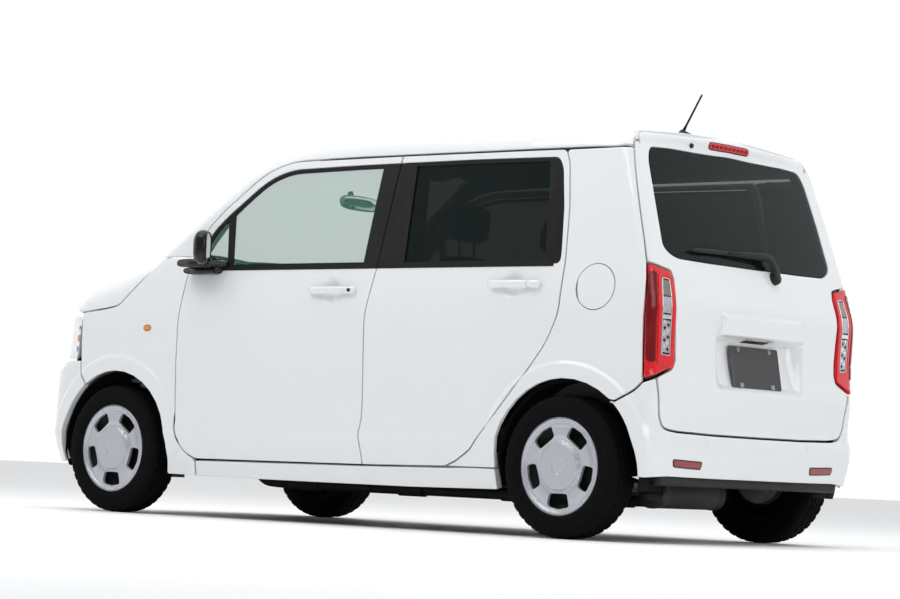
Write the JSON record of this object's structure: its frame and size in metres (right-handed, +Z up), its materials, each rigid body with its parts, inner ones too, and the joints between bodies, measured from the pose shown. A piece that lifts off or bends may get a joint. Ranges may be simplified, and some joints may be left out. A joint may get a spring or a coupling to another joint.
{
  "type": "kei car",
  "caption": "Tall five-door kei car with hinged doors, bonnet, tailgate and fuel lid, linked front steering and free-rolling wheels on a hollow cabin.",
  "frame": {"origin": "on the floor under the middle of the car's length and width", "axes": "+X to the front of the car, +Y to its left side, +Z up"},
  "size_m": [3.395, 1.796, 1.7877],
  "materials": {
    "paint": "pearl gloss",
    "bumper": "pearl gloss",
    "black_plastic": "grained",
    "underbody": "matt coating",
    "lens": "clear moulded",
    "clear_glass": "polished",
    "dark_glass": "polished",
    "trim": "grained",
    "cloth": "woven",
    "cast_metal": "cast",
    "steel": "satin",
    "tyre": "matt",
    "wheel": "silver paint"
  },
  "bodies": {
    "body": {"floor_pan": "underbody", "sill_panels": "paint", "front_fenders": "paint", "pillars": "paint", "quarter_panels": "paint", "roof_panel": "paint", "cowl_panel": "black_plastic", "front_bumper": "bumper", "rear_bumper": "bumper", "grille": "black_plastic", "lamps": "lens", "windscreen": "clear_glass", "wheel_housings": "black_plastic", "dashboard": "trim", "front_seats": "cloth", "rear_seat": "cloth", "engine_block": "cast_metal", "front_suspension": "steel", "rear_axle": "steel", "fuel_tank": "black_plastic", "exhaust": "steel", "antenna": "black_plastic"},
    "front_door_left": {"front_door_left": "paint", "front_glass_left": "clear_glass", "mirror_left": "black_plastic"},
    "rear_door_left": {"rear_door_left": "paint", "rear_glass_left": "dark_glass"},
    "front_door_right": {"front_door_right": "paint", "front_glass_right": "clear_glass", "mirror_right": "black_plastic"},
    "rear_door_right": {"rear_door_right": "paint", "rear_glass_right": "dark_glass"},
    "tailgate": {"tailgate": "paint", "tailgate_glass": "dark_glass"},
    "bonnet": {"bonnet": "paint"},
    "fuel_lid": {"fuel_lid": "paint"},
    "steering_wheel": {"steering_wheel": "trim"},
    "knuckle_left": {"knuckle_left": "cast_metal"},
    "front_wheel_left": {"tyre_front_left": "tyre", "wheel_front_left": "wheel"},
    "rear_wheel_left": {"tyre_rear_left": "tyre", "wheel_rear_left": "wheel"},
    "knuckle_right": {"knuckle_right": "cast_metal"},
    "front_wheel_right": {"tyre_front_right": "tyre", "wheel_front_right": "wheel"},
    "rear_wheel_right": {"tyre_rear_right": "tyre", "wheel_rear_right": "wheel"}
  },
  "joints": [
    {"name": "front_door_left_hinge", "type": "hinge", "parent": "body", "child": "front_door_left", "pos_m": [0.78, 0.724, 0.65], "axis": [0, 0, -1], "range_deg": [0, 68]},
    {"name": "rear_door_left_hinge", "type": "hinge", "parent": "body", "child": "rear_door_left", "pos_m": [-0.3, 0.724, 0.65], "axis": [0, 0, -1], "range_deg": [0, 70]},
    {"name": "front_door_right_hinge", "type": "hinge", "parent": "body", "child": "front_door_right", "pos_m": [0.78, -0.724, 0.65], "axis": [0, 0, 1], "range_deg": [0, 68]},
    {"name": "rear_door_right_hinge", "type": "hinge", "parent": "body", "child": "rear_door_right", "pos_m": [-0.3, -0.724, 0.65], "axis": [0, 0, 1], "range_deg": [0, 70]},
    {"name": "tailgate_hinge", "type": "hinge", "parent": "body", "child": "tailgate", "pos_m": [-1.474, 0, 1.588], "axis": [0, 1, 0], "range_deg": [0, 80]},
    {"name": "bonnet_hinge", "type": "hinge", "parent": "body", "child": "bonnet", "pos_m": [1.095, 0, 1.095], "axis": [0, -1, 0], "range_deg": [0, 52]},
    {"name": "fuel_lid_hinge", "type": "hinge", "parent": "body", "child": "fuel_lid", "pos_m": [-1.3145, 0.713, 0.962], "axis": [0, 0, -1], "range_deg": [0, 95]},
    {"name": "steering_wheel_turn", "type": "hinge", "parent": "body", "child": "steering_wheel", "pos_m": [0.392, -0.3, 0.872], "axis": [-0.8829, 0, 0.4695], "range_deg": [-525, 525]},
    {"name": "steer_left", "type": "hinge", "parent": "body", "child": "knuckle_left", "pos_m": [1.2075, 0.552, 0.275], "axis": [0, 0, 1], "range_deg": [-35, 35]},
    {"name": "front_wheel_left_spin", "type": "hinge", "parent": "knuckle_left", "child": "front_wheel_left", "pos_m": [1.2075, 0.6525, 0.275], "axis": [0, 1, 0], "continuous": true},
    {"name": "rear_wheel_left_spin", "type": "hinge", "parent": "body", "child": "rear_wheel_left", "pos_m": [-1.2725, 0.6525, 0.275], "axis": [0, 1, 0], "continuous": true},
    {"name": "steer_right", "type": "hinge", "parent": "body", "child": "knuckle_right", "pos_m": [1.2075, -0.552, 0.275], "axis": [0, 0, 1], "range_deg": [-35, 35]},
    {"name": "front_wheel_right_spin", "type": "hinge", "parent": "knuckle_right", "child": "front_wheel_right", "pos_m": [1.2075, -0.6525, 0.275], "axis": [0, 1, 0], "continuous": true},
    {"name": "rear_wheel_right_spin", "type": "hinge", "parent": "body", "child": "rear_wheel_right", "pos_m": [-1.2725, -0.6525, 0.275], "axis": [0, 1, 0], "continuous": true}
  ],
  "couplings": [
    {"joint": "steer_right", "follows": "steer_left", "ratio": 1},
    {"joint": "steering_wheel_turn", "follows": "steer_left", "ratio": 15}
  ]
}
